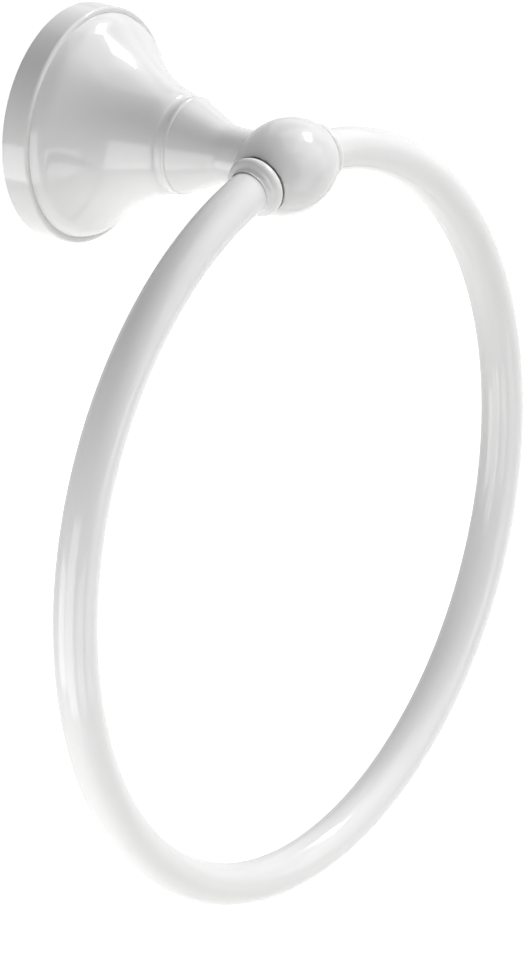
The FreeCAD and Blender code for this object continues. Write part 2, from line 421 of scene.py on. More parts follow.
def extrude_outline(name: str, corners: list[Vector], depth: Vector) -> Piece:
    """Fill a closed outline and extrude it into a solid.

    Args:
        name: The new piece's name.
        corners: The outline's corners, without the first one again at the end.
        depth: How far and which way the face is extruded.

    Returns:
        The solid, active and in object mode.
    """
    piece = draw_wire(name, corners)
    bpy.ops.mesh.edge_face_add()
    bpy.ops.mesh.extrude_region_move(TRANSFORM_OT_translate={"value": depth})
    finish_mesh(piece)
    return piece


def extrude_across(name: str, section: list[Point], width: float) -> Piece:
    """Extrude a section, as points of distance from the wall and height, evenly to both sides."""
    corners = [Vector((-width / 2, -distance, height)) for distance, height in section]
    return extrude_outline(name, corners, Vector((width, 0.0, 0.0)))


def use_tool(piece: Piece, tool: Piece, operation: str) -> None:
    """Join a tool to a piece, or cut the piece with it, and remove the tool.

    Args:
        piece: The piece that is changed.
        tool: A closed mesh, which is used up.
        operation: "UNION", "DIFFERENCE" or "INTERSECT".
    """
    apply_modifier(piece, "BOOLEAN", operation=operation, solver="EXACT", object=tool)
    bpy.data.objects.remove(tool)


def step_in(point: Point, slope: float, depth: float) -> Point:
    """The point of a Section that lies straight in from a face of that slope, at that depth."""
    angle = math.radians(slope)
    return (point[0] - depth * math.sin(angle), point[1] - depth * math.cos(angle))


@dataclass
class Section:
    """Half the section of a turned piece, as points of distance along its axis and radius from it.

    A slope is how steeply the section falls towards the axis, in degrees: 0 runs along the axis, 90
    straight towards it, and a negative slope rises away from it.
    """

    points: list[Point]
    step_deg: float = 4.0

    def line_to(self, distance: float, radius: float) -> None:
        """Draw a straight stretch to a point."""
        self.points.append((distance, radius))

    def bend(self, arc_radius: float, from_slope: float, to_slope: float, way: Bend) -> None:
        """Draw an arc whose slope turns from one angle to another.

        Args:
            arc_radius: The arc's radius.
            from_slope: The slope where the arc starts, in degrees.
            to_slope: The slope where it ends, in degrees.
            way: Whether it bulges away from the axis or is hollow.
        """
        reach = way.value * arc_radius
        turn = to_slope - from_slope
        centre = step_in(self.points[-1], from_slope, reach)
        steps = max(2, math.ceil(abs(turn) / self.step_deg))
        for index in range(1, steps + 1):
            self.points.append(step_in(centre, from_slope + turn * index / steps, -reach))

    def bulge_to(self, distance: float, radius: float, height: float, steps: int = 8) -> None:
        """Draw an arc whose middle stands out from its chord.

        Args:
            distance: Where the arc ends along the axis.
            radius: Its radius from the axis there.
            height: How far its middle stands out, or in where it is negative.
            steps: How many straight pieces stand for it.
        """
        start = Vector(self.points[-1])
        end = Vector((distance, radius))
        along = (end - start).normalized()
        out = Vector((-along.y, along.x)) * math.copysign(1.0, height)
        half_chord = (end - start).length / 2
        arc_radius = (half_chord ** 2 + height ** 2) / (2 * abs(height))
        half_angle = 2 * math.atan2(abs(height), half_chord)
        centre = (start + end) / 2 + out * (abs(height) - arc_radius)
        for index in range(1, steps + 1):
            angle = half_angle * (2 * index / steps - 1)
            place = centre + arc_radius * (out * math.cos(angle) + along * math.sin(angle))
            self.points.append((place.x, place.y))


@dataclass(frozen=True)
class Layout:
    """The sizes that the pieces share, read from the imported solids."""

    rim_radius: float
    projection: float
    ring_radius: float
    tube_radius: float
    seat_distance: float = 10.2 * MM
    socket_end_distance: float = 3.2 * MM
    socket_clearance: float = 0.1 * MM

    @classmethod
    def from_frame(cls) -> "Layout":
        """Read the rim, the reach and the ring from the boxes of their nodes."""
        post_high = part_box("post")[1]
        ring_low, ring_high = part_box("ring")
        tube_radius = (ring_high.y - ring_low.y) / 2
        return cls(
            rim_radius=post_high.x,
            projection=-(ring_high.y + ring_low.y) / 2,
            ring_radius=ring_high.x - tube_radius,
            tube_radius=tube_radius,
        )

    @property
    def circumference(self) -> float:
        """The length of the ring's centreline, all the way round."""
        return math.tau * self.ring_radius

    @property
    def ring_centre(self) -> Vector:
        """The centre of the ring."""
        return Vector((0.0, -self.projection, -self.ring_radius))

    def on_ring(self, distance: float) -> Vector:
        """The place on the ring's centreline that many metres to the right of its top."""
        angle = distance / self.ring_radius
        out = Vector((math.sin(angle), 0.0, math.cos(angle)))
        return self.ring_centre + out * self.ring_radius

    def tangent(self, distance: float) -> Vector:
        """The direction of the centreline there, away from the hub for a place on the right."""
        angle = distance / self.ring_radius
        return Vector((math.cos(angle), 0.0, -math.sin(angle)))

    def seat_plane(self, side: Side) -> tuple[Vector, Vector]:
        """The middle of a collar's flat seat on the hub, and the direction that the seat faces."""
        place = self.on_ring(self.seat_distance)
        facing = self.tangent(self.seat_distance)
        place.x *= side.value
        facing.x *= side.value
        return place, facing

    def bent_rod(self, name: str, radius: float, start: float, end: float, sides: int, steps: int) -> Piece:
        """Bend a closed round rod along the ring's centreline.

        Args:
            name: The new piece's name.
            radius: The rod's radius.
            start: Where it starts, in metres to the right of the ring's top.
            end: Where it ends.
            sides: How many sides its section has.
            steps: How many straight stretches stand for the bend.

        Returns:
            The rod, in object mode.
        """
        angle = start / self.ring_radius
        rod = add_primitive(
            name, bpy.ops.mesh.primitive_circle_add, vertices=sides, radius=radius, fill_type="NOTHING",
            location=self.on_ring(start), rotation=(0.0, math.pi / 2 + angle, 0.0),
        )
        edit_all()
        bpy.ops.mesh.spin(
            steps=steps, angle=(end - start) / self.ring_radius, center=self.ring_centre, axis=ALONG_Y
        )
        bpy.ops.mesh.select_all(action="SELECT")
        bpy.ops.mesh.fill_holes(sides=0)
        finish_mesh(rod)
        return rod


@dataclass
class WallBracket:
    """The pressed plate inside the bell: a web on the wall, and a wing above and below that stands off."""

    sheet: float = 1.8 * MM
    width: float = 26.0 * MM
    half_height: float = 16.0 * MM
    wing_reach: float = 5.0 * MM
    wing_slope: float = 45.0
    bend_radius: float = 1.0 * MM
    corner_radius: float = 3.0 * MM
    hole_radius: float = 2.25 * MM
    hole_spacing: float = 15.0 * MM
    pressed_edge: float = 0.12 * MM
    bend_steps: int = 8
    corner_steps: int = 10
    pressed_edge_steps: int = 2
    hole_sides: int = 64

    def wing_height(self, distance: float) -> float:
        """How far from the middle the back of a wing is, at a distance from the wall."""
        return self.half_height - (self.wing_reach - distance) / math.tan(math.radians(self.wing_slope))

    def half_section(self) -> list[Point]:
        """The upper half of the bent sheet's section, from its back face round to its front face."""
        slope = math.radians(self.wing_slope)
        outer = self.bend_radius + self.sheet
        centre = (outer, self.wing_height(0.0) - outer * math.tan(slope / 2))
        turns = [slope * index / self.bend_steps for index in range(self.bend_steps + 1)]
        back = [(centre[0] - outer * math.cos(t), centre[1] + outer * math.sin(t)) for t in turns]
        inner = self.bend_radius
        front = [(centre[0] - inner * math.cos(t), centre[1] + inner * math.sin(t)) for t in reversed(turns)]
        tip = [
            (self.wing_reach, self.half_height),
            (self.wing_reach + self.sheet * math.cos(slope), self.half_height - self.sheet * math.sin(slope)),
        ]
        return back + tip + front

    def bent_sheet(self) -> Piece:
        """The sheet with its two wings bent, before its corners are cut."""
        upper = self.half_section()
        lower = [(distance, -height) for distance, height in reversed(upper)]
        return extrude_across("bracket_plate", upper + lower, self.width)

    def blank(self) -> Piece:
        """The block with four rounded corners that the sheet is trimmed to."""
        depth = self.wing_reach + 2 * self.sheet
        block = add_primitive(
            "bracket_blank", bpy.ops.mesh.primitive_cube_add, size=1.0,
            location=(0.0, -depth / 2 + self.sheet / 2, 0.0), scale=(self.width, depth, 2 * self.half_height),
        )

        def runs_through(edge: bpy.types.MeshEdge) -> bool:
            """Whether an edge runs from the block's back to its front."""
            start, end = (block.data.vertices[index].co for index in edge.vertices)
            return abs(end.y - start.y) > depth / 2

        edit_picked(block, "EDGE", runs_through)
        bpy.ops.mesh.bevel(offset=self.corner_radius, segments=self.corner_steps)
        return block

    def screw_hole(self, side: Side) -> Piece:
        """The punch for one of the two holes that the wall screws go through."""
        return add_primitive(
            "hole_punch_" + side.name.lower(), bpy.ops.mesh.primitive_cylinder_add,
            vertices=self.hole_sides, radius=self.hole_radius, depth=4 * self.sheet,
            rotation=(math.pi / 2, 0.0, 0.0), location=(side.value * self.hole_spacing / 2, 0.0, 0.0),
        )

    def build(self) -> Piece:
        """Bend, trim and punch the plate, and soften its edges as pressing and plating do.

        Returns:
            The finished bracket.
        """
        piece = self.bent_sheet()
        use_tool(piece, self.blank(), "INTERSECT")
        for side in Side:
            use_tool(piece, self.screw_hole(side), "DIFFERENCE")
        finish_mesh(piece)
        apply_modifier(piece, "BEVEL", width=self.pressed_edge, segments=self.pressed_edge_steps,
                       limit_method="ANGLE", angle_limit=SOFTENED_CORNER, harden_normals=False)
        bpy.ops.object.shade_smooth_by_angle(angle=SOFTENED_CORNER)
        return piece


@dataclass
class GrubScrew:
    """A hex socket grub screw with a cone point, under the rim, which draws the post on to the bracket."""

    layout: Layout
    bracket: WallBracket
    radius: float = 1.5 * MM
    pitch: float = 0.5 * MM
    thread_depth: float = 0.3 * MM
    wall_distance: float = 2.9 * MM
    recess: float = 0.6 * MM
    point_gap: float = 0.05 * MM
    socket_width: float = 1.5 * MM
    socket_depth: float = 1.6 * MM
    end_chamfer: float = 0.3 * MM
    flank: tuple[float, float] = (0.06, 0.44)
    crest_allowance: float = 1.001
    spare_turns: int = 2
    key_overshoot: float = 1.0 * MM
    turn_steps: int = 40

    @property
    def bottom(self) -> float:
        """The height of the socket end, just inside the rim."""
        return self.recess - self.layout.rim_radius

    @property
    def length(self) -> float:
        """The screw's length, up to the back of the lower wing."""
        return -self.bottom - self.bracket.wing_height(self.wall_distance) - self.point_gap

    def turned_blank(self) -> Piece:
        """The chamfered blank with its cone point, before it is threaded."""
        cone = self.radius / math.tan(math.radians(self.bracket.wing_slope))
        section = [
            (0.0, 0.0),
            (0.0, self.radius - self.end_chamfer),
            (self.end_chamfer, self.radius),
            (self.length - cone, self.radius),
            (self.length, 0.0),
        ]
        wire = [Vector((radius, -self.wall_distance, self.bottom + height)) for height, radius in section]
        return turn_wire("grub_screw", wire, self.turn_steps, wire[0], ALONG_Z)

    def thread(self) -> Piece:
        """The endless thread that the blank is cut with: one turn of its ridge, screwed along Z."""
        root = self.radius - self.thread_depth
        crest = self.radius * self.crest_allowance
        foot, top = self.flank
        ridge = [(0.0, root), (foot, root), (top, crest), (1 - top, crest), (1 - foot, root), (1.0, root)]
        wire = [Vector((reach, 0.0, share * self.pitch)) for share, reach in ridge]
        piece = draw_wire("thread_die", wire)
        apply_modifier(
            piece, "SCREW", axis="Z", angle=math.tau, screw_offset=self.pitch,
            iterations=math.ceil(self.length / self.pitch) + 2 * self.spare_turns,
            steps=self.turn_steps, render_steps=self.turn_steps,
            use_merge_vertices=True, merge_threshold=MERGE_DISTANCE / 2,
        )
        edit_all()
        bpy.ops.mesh.remove_doubles(threshold=MERGE_DISTANCE)
        bpy.ops.mesh.fill_holes(sides=0)
        piece.location = (0.0,-self.wall_distance, self.bottom - self.spare_turns * self.pitch)
        finish_mesh(piece)
        return piece

    def hex_key(self) -> Piece:
        """The hexagonal punch for the socket, which starts outside the screw."""
        corner = self.socket_width / 2 / math.cos(math.radians(30))
        start = self.bottom - self.key_overshoot
        corners = [
            Vector((corner * math.cos(angle), corner * math.sin(angle) - self.wall_distance, start))
            for angle in (math.radians(60 * index) for index in range(6))
        ]
        return extrude_outline("hex_key", corners, ALONG_Z * (self.socket_depth + self.key_overshoot))

    def build(self) -> Piece:
        """Turn, thread and punch the screw.

        Returns:
            The finished screw.
        """
        piece = self.turned_blank()
        use_tool(piece, self.thread(), "INTERSECT")
        use_tool(piece, self.hex_key(), "DIFFERENCE")
        finish_mesh(piece)
        return piece


@dataclass
class Post:
    """The enamelled casting: rim, bell, grooved neck and hub, hollow behind, with its lug and boss."""

    layout: Layout
    bracket: WallBracket
    screw: GrubScrew
    rim_height: float = 6.3 * MM
    rim_round: float = 0.65 * MM
    rim_land: float = 0.5 * MM
    rim_line: float = 0.12 * MM
    casting_wall: float = 2.8 * MM
    shoulder_radius: float = 9.0 * MM
    shoulder_slope: float = 18.0
    flare_slope: float = 13.5
    throat_radius: float = 11.0 * MM
    groove_offset: float = 27.5 * MM
    groove_width: float = 2.0 * MM
    groove_depth: float = 0.35 * MM
    bead_radius: float = 10.6 * MM
    bead_width: float = 1.0 * MM
    bead_height: float = 0.25 * MM
    neck_top_radius: float = 10.4 * MM
    neck_top_slope: float = 14.0
    neck_shoulder_radius: float = 5.0 * MM
    neck_taper: float = 24.5
    neck_blend_radius: float = 8.0 * MM
    neck_radius: float = 6.15 * MM
    neck_fillet: float = 0.9 * MM
    neck_rows: tuple[float, float] = (0.4, 0.8)
    lifted_neck: float = 4.0 * MM
    hub_radius: float = 10.3 * MM
    hub_half_axis: float = 13.2 * MM
    egg_blend_deg: float = 80.0
    lug_width: float = 12.0 * MM
    lug_distances: Point = (1.1 * MM, 4.6 * MM)
    boss_width: float = 7.0 * MM
    boss_distances: Point = (0.6 * MM, 5.2 * MM)
    boss_bracket_gap: float = 2.6 * MM
    cast_edge: float = 0.3 * MM
    cast_edge_steps: int = 3
    fillet_step_deg: float = 6.0
    hub_step_deg: float = 2.5
    turn_steps: int = 256
    drill_sides: int = 48
    socket_sides: int = 96
    socket_steps: int = 24

    @property
    def groove_station(self) -> float:
        """The groove's start, measured from the wall."""
        return self.layout.projection - self.groove_offset

    @property
    def block_end(self) -> float:
        """How far from the post's axis the lug and the boss end, in the middle of the rim's wall."""
        return self.layout.rim_radius - self.casting_wall / 2

    @property
    def contact_deg(self) -> float:
        """The angle from the post's axis, seen from the hub's centre, where the fillet meets the hub."""
        reach = self.neck_radius + self.neck_fillet
        return math.degrees(math.asin(reach / (self.hub_radius + self.neck_fillet)))

    @property
    def fillet_start(self) -> float:
        """How far behind the hub's centre the fillet leaves the neck, above and below it."""
        reach = self.neck_radius + self.neck_fillet
        return math.sqrt((self.hub_radius + self.neck_fillet) ** 2 - reach ** 2)

    def bell_start(self, inset: float) -> Point:
        """The bell's first point, just behind the rim's front face, inset into the wall."""
        radius = self.layout.rim_radius - self.rim_round - self.rim_land - self.rim_line
        return step_in((self.rim_height - self.rim_line, radius), self.shoulder_slope, inset)

    def bell_end(self, inset: float) -> Point:
        """The bell's last point, at the groove, inset into the wall."""
        return step_in((self.groove_station, self.throat_radius), self.flare_slope, inset)

    def draw_bell(self, section: Section, inset: float) -> None:
        """Draw the shoulder and the flare, tangent where they meet.

        Args:
            section: The section, whose last point is the bell's first.
            inset: How far the line lies inside the outer face.
        """
        convex = self.shoulder_radius - inset
        centre = step_in(self.bell_start(inset), self.shoulder_slope, convex)
        end = self.bell_end(inset)
        end_slope = math.radians(self.flare_slope)
        run = end[0] - centre[0]
        rise = end[1] - centre[1]
        along = run * math.sin(end_slope) + rise * math.cos(end_slope)
        concave = (run ** 2 + rise ** 2 - convex ** 2) / (2 * (convex - along))
        meeting_run, meeting_rise = step_in((run, rise), self.flare_slope, -concave)
        meeting = math.degrees(math.atan2(meeting_run, meeting_rise))
        section.bend(convex, self.shoulder_slope, meeting, Bend.CONVEX)
        section.bend(concave, meeting, self.flare_slope, Bend.CONCAVE)

    def hollow_section(self) -> Section:
        """The line of the hollow, from the rim's inner edge on the wall to the hollow's floor."""
        hollow_radius = self.layout.rim_radius - self.casting_wall
        start_distance, start_radius = self.bell_start(self.casting_wall)
        section = Section([(0.0, hollow_radius)])
        section.line_to(start_distance - (hollow_radius - start_radius), hollow_radius)
        section.line_to(start_distance, start_radius)
        self.draw_bell(section, self.casting_wall)
        floor_distance = self.bell_end(self.casting_wall)[0]
        section.line_to(floor_distance, self.throat_radius / 2)
        section.line_to(floor_distance, 0.0)
        return section

    def outer_section(self) -> Section:
        """The line of the outer face, from the rim's back edge to the hub's front."""
        rim = self.layout.rim_radius
        section = Section([(0.0, rim)])
        section.line_to(self.rim_height - self.rim_round, rim)
        section.bend(self.rim_round, 0.0, 90.0, Bend.CONVEX)
        section.line_to(self.rim_height, rim - self.rim_round - self.rim_land)
        section.line_to(*self.bell_start(0.0))
        self.draw_bell(section, 0.0)
        groove_end = self.groove_station + self.groove_width
        section.bulge_to(groove_end, self.bead_radius, -self.groove_depth)
        section.bulge_to(groove_end + self.bead_width, self.neck_top_radius, self.bead_height)
        section.bend(self.neck_shoulder_radius, self.neck_top_slope, self.neck_taper, Bend.CONVEX)
        taper = math.radians(self.neck_taper)
        blend_radius = self.neck_radius + self.neck_blend_radius * (1 - math.cos(taper))
        distance, radius = section.points[-1]
        section.line_to(distance + (radius - blend_radius) / math.tan(taper), blend_radius)
        section.bend(self.neck_blend_radius, self.neck_taper, 0.0, Bend.CONCAVE)
        fillet_distance = self.layout.projection - self.fillet_start
        blend_end = section.points[-1][0]
        for share in self.neck_rows:
            section.line_to(blend_end + share * (fillet_distance - blend_end), self.neck_radius)
        section.line_to(fillet_distance, self.neck_radius)
        contact_slope = self.contact_deg - 90.0
        section.step_deg = self.fillet_step_deg
        section.bend(self.neck_fillet, 0.0, contact_slope, Bend.CONCAVE)
        section.step_deg = self.hub_step_deg
        section.bend(self.hub_radius, contact_slope, 90.0, Bend.CONVEX)
        section.points[-1] = (section.points[-1][0], 0.0)
        return section

    def egg_rise(self, x: float, z: float, growth: float) -> float:
        """How far behind the hub's centre the egg's surface is at a place across the post's axis.

        Args:
            x: The place along the egg's long axis.
            z: The place across it.
            growth: How much larger the egg is taken all round.

        Returns:
            The distance towards the wall, or 0 outside the egg.
        """
        height = self.hub_radius + growth
        share = 1 - (x / (self.hub_half_axis + growth)) ** 2 - (z / height) ** 2
        return height * math.sqrt(max(0.0, share))

    def draw_out_hub(self, piece: Piece) -> None:
        """Draw the round hub out along X to its egg, and lift the neck's fillet on to the egg's flank.

        The line where the round neck meets the egg is a saddle that no turning gives, so the vertices of
        the hub and of the fillet are set by their place.
        """
        stretch = self.hub_half_axis / self.hub_radius
        contact = math.radians(self.contact_deg)
        blend = math.radians(self.egg_blend_deg) - contact
        contact_rise = self.hub_radius * math.cos(contact)
        ball = self.neck_radius + self.neck_fillet
        neck_end = self.fillet_start + self.lifted_neck
        for vertex in piece.data.vertices:
            x, y, z = vertex.co
            rise = y + self.layout.projection
            if rise > neck_end:
                continue
            across = math.hypot(x, z)
            if rise > contact_rise + MERGE_DISTANCE:
                turn = Vector((x, z)) / across
                start_lift = self.egg_rise(ball * turn.x, ball * turn.y, self.neck_fillet) - self.fillet_start
                contact_x = self.hub_radius * math.sin(contact) * turn.x
                contact_z = self.hub_radius * math.sin(contact) * turn.y
                end_lift = self.egg_rise(contact_x, contact_z, 0.0) - contact_rise
                if rise > self.fillet_start:
                    lift = start_lift * (neck_end - rise) / (neck_end - self.fillet_start)
                else:
                    share = (self.fillet_start - rise) / (self.fillet_start - contact_rise)
                    lift = start_lift + (end_lift - start_lift) * share
                vertex.co.y = y + lift
            else:
                angle = math.atan2(across, rise)
                share = min(1.0, max(0.0, (angle - contact) / blend))
                share = share * share * (3 - 2 * share)
                x *= 1 + (stretch - 1) * share
                vertex.co.x = x
                if rise > 0 and share < 1:
                    vertex.co.y = self.egg_rise(x, z, 0.0) - self.layout.projection

    def cut_seat(self, piece: Piece, side: Side) -> None:
        """Cut one end of the hub flat, square to the ring, for the collar to sit on."""
        seat, normal = self.layout.seat_plane(side)
        edit_picked(piece, "FACE", lambda face: face.center.y + self.layout.projection < self.hub_radius)
        bpy.ops.mesh.bisect(plane_co=seat, plane_no=normal, use_fill=True, clear_outer=True)

    def cast_block(self, name: str, distances: Point, heights: Point, end: float, width: float) -> Piece:
        """Cast a block across the post, from its inner edge out to its end in the rim's wall.

        Args:
            name: The new piece's name.
            distances: How far from the wall its back and its front are.
            heights: The heights of its inner edge there.
            end: The height at which it ends.
            width: Its width across the post.

        Returns:
            The block, with its edges rounded.
        """
        section = [*zip(distances, heights), *((distance, end) for distance in reversed(distances))]
        block = extrude_across(name, section, width)
        edit_all()
        bpy.ops.mesh.bevel(offset=self.cast_edge, segments=self.cast_edge_steps)
        return block

    def hook_lug(self) -> Piece:
        """The lug inside the top of the rim, whose sloping underside hooks behind the upper wing."""
        heights = tuple(self.bracket.wing_height(distance) for distance in self.lug_distances)
        return self.cast_block("hook_lug", self.lug_distances, heights, self.block_end, self.lug_width)

    def screw_boss(self) -> Piece:
        """The block inside the bottom of the rim that the grub screw runs through."""
        tops = (-self.bracket.half_height - self.boss_bracket_gap,) * 2
        return self.cast_block("screw_boss", self.boss_distances, tops, -self.block_end, self.boss_width)

    def screw_hole(self) -> Piece:
        """The drill for the grub screw's hole, through the rim and the boss."""
        length = self.layout.rim_radius
        middle = -self.layout.rim_radius - self.casting_wall + length / 2
        return add_primitive(
            "screw_drill", bpy.ops.mesh.primitive_cylinder_add, vertices=self.drill_sides,
            radius=self.screw.radius, depth=length, location=(0.0, -self.screw.wall_distance, middle),
        )

    def socket(self, side: Side) -> Piece:
        """The curved drill for the socket that one end of the tube stands in."""
        radius = self.layout.tube_radius + self.layout.socket_clearance
        start = self.layout.socket_end_distance
        end = 2 * self.layout.seat_distance
        if side is Side.LEFT:
            start, end = self.layout.circumference - end, self.layout.circumference - start
        name = "socket_" + side.name.lower()
        return self.layout.bent_rod(name, radius, start, end, self.socket_sides, self.socket_steps)

    def build(self) -> Piece:
        """Turn, stretch, cut and join the casting.

        Returns:
            The finished post.
        """
        line = self.hollow_section().points[::-1] + self.outer_section().points
        wire = [Vector((radius, -distance, 0.0)) for distance, radius in line]
        piece = turn_wire("post_casting", wire, self.turn_steps, ORIGIN, ALONG_Y)
        self.draw_out_hub(piece)
        for side in Side:
            self.cut_seat(piece, side)
        finish_mesh(piece)
        use_tool(piece, self.hook_lug(), "UNION")
        use_tool(piece, self.screw_boss(), "UNION")
        use_tool(piece, self.screw_hole(), "DIFFERENCE")
        for side in Side:
            use_tool(piece, self.socket(side), "DIFFERENCE")
        finish_mesh(piece)
        return piece

    def paint_seat_shade(self, piece: Piece, material: Material, side: Side) -> None:
        """Paint shade on the flat under a collar, standing in for the shadow in the joint.

        Args:
            piece: The finished post, already dressed.
            material: The painted shade.
            side: Which of the two flats gets the painted shade.
        """
        seat, normal = self.layout.seat_plane(side)

        def on_seat(face: bpy.types.MeshPolygon) -> bool:
            """Whether a face lies in the flat and looks the same way."""
            in_plane = abs((face.center - seat).dot(normal)) < SEAT_TOLERANCE
            return in_plane and face.normal.dot(normal) > SAME_WAY

        dress_faces(piece, material, on_seat)


@dataclass
class Ring:
    """The bent tube, an open circle whose ends stand in the hub's sockets."""

    layout: Layout
    tube_wall: float = 1.0 * MM
    bore_depth: float = 4.0 * MM
    sides: int = 72
    steps: int = 320

    def open_ends(self, piece: Piece) -> None:
        """Inset both closed ends by the tube's wall and push them in, to show the bore."""
        edit_picked(piece, "FACE", lambda face: len(face.vertices) == self.sides)
        bpy.ops.mesh.inset(thickness=self.tube_wall)
        bpy.ops.mesh.extrude_region_shrink_fatten(TRANSFORM_OT_shrink_fatten={"value": -self.bore_depth})

    def build(self) -> Piece:
        """Bend the tube from one socket's floor to the other's.

        Returns:
            The finished ring.
        """
        start = self.layout.socket_end_distance
        end = self.layout.circumference - start
        radius = self.layout.tube_radius
        piece = self.layout.bent_rod("ring_tube", radius, start, end, self.sides, self.steps)
        self.open_ends(piece)
        finish_mesh(piece)
        return piece


@dataclass
class Collar:
    """A turned bead collar on one end of the ring: a narrow base, a fat bead and a cove; the base may take
    painted shade.
    """

    layout: Layout
    side: Side
    # Whether the base carries painted shade for the joint's shadow.
    shaded_joint: bool = True
    base_radius: float = 5.0 * MM
    base_width: float = 0.65 * MM
    bead_radius: float = 6.45 * MM
    bead_width: float = 2.4 * MM
    bead_bulge: float = 0.6 * MM
    waist_radius: float = 5.6 * MM
    cove_width: float = 1.25 * MM
    cove_depth: float = 0.26 * MM
    edge_height: float = 0.08 * MM
    bore_clearance: float = 0.05 * MM
    bead_steps: int = 20
    turn_steps: int = 144

    @property
    def node(self) -> str:
        """The solid that the collar stands for."""
        return "collar_" + self.side.name.lower()

    def section(self) -> Section:
        """The collar's closed section, measured from the hub's seat."""
        bore = self.layout.tube_radius + self.bore_clearance
        bead_end = self.base_width + self.bead_width
        end = bead_end + self.cove_width
        section = Section([(0.0, bore), (0.0, self.base_radius)])
        section.line_to(self.base_width, self.base_radius)
        section.line_to(self.base_width, self.bead_radius)
        section.bulge_to(bead_end, self.waist_radius, self.bead_bulge, self.bead_steps)
        section.bulge_to(end, self.layout.tube_radius + self.edge_height, -self.cove_depth)
        section.line_to(end, bore)
        section.line_to(0.0, bore)
        return section

    def build(self) -> Piece:
        """Turn the collar round the tube.

        Returns:
            The finished collar.
        """
        seat, along = self.layout.seat_plane(self.side)
        out = Vector((-along.z, 0.0, along.x)) * self.side.value
        wire = [seat + along * distance + out * radius for distance, radius in self.section().points]
        return turn_wire(self.node + "_bead", wire, self.turn_steps, seat, along)

    def paint_base_shade(self, piece: Piece, material: Material) -> None:
        """Paint shade on the base behind the bead, in the joint with the hub, standing in for the shadow
        there.

        Args:
            piece: The finished collar, already dressed.
            material: The painted shade.
        """
        seat, along = self.layout.seat_plane(self.side)
        limit = self.base_width + SEAT_TOLERANCE
        dress_faces(piece, material, lambda face: (face.center - seat).dot(along) < limit)


@dataclass
class ClosedCollar(Collar):
    """A collar whose wide, short base closes the joint with the hub, and is enamelled like the rest, with no
    painted shade.
    """

    shaded_joint: bool = False
    base_radius: float = 5.9 * MM
    base_width: float = 0.35 * MM
    cove_width: float = 1.55 * MM


def outward(azimuth: float, elevation: float) -> Vector:
    """Give the direction from the object to a stand in the studio.

    Args:
        azimuth: Degrees to the right of straight in front of the wall.
        elevation: Degrees above level.

    Returns:
        A direction of length 1.
    """
    turn = math.radians(azimuth)
    rise = math.radians(elevation)
    return Vector((math.sin(turn) * math.cos(rise), -math.cos(turn) * math.cos(rise), math.sin(rise)))


@dataclass(frozen=True)
class Softbox:
    """A rectangular lamp that faces a place on the object, hung by its direction and distance from it."""

    name: str
    azimuth: float
    elevation: float
    width: float
    height: float
    watts: float
    distance: float = 1.5
    aim: tuple[float, float, float] = WHOLE_OBJECT

    def build(self) -> None:
        """Hang the lamp."""
        data = bpy.data.lights.new(self.name, "AREA")
        data.shape = "RECTANGLE"
        data.size = self.width
        data.size_y = self.height
        data.energy = self.watts
        lamp = bpy.data.objects.new(self.name, data)
        bpy.context.scene.collection.objects.link(lamp)
        back = outward(self.azimuth, self.elevation)
        lamp.location = Vector(self.aim) + back * self.distance
        lamp.rotation_euler = back.to_track_quat("Z", "Y").to_euler()


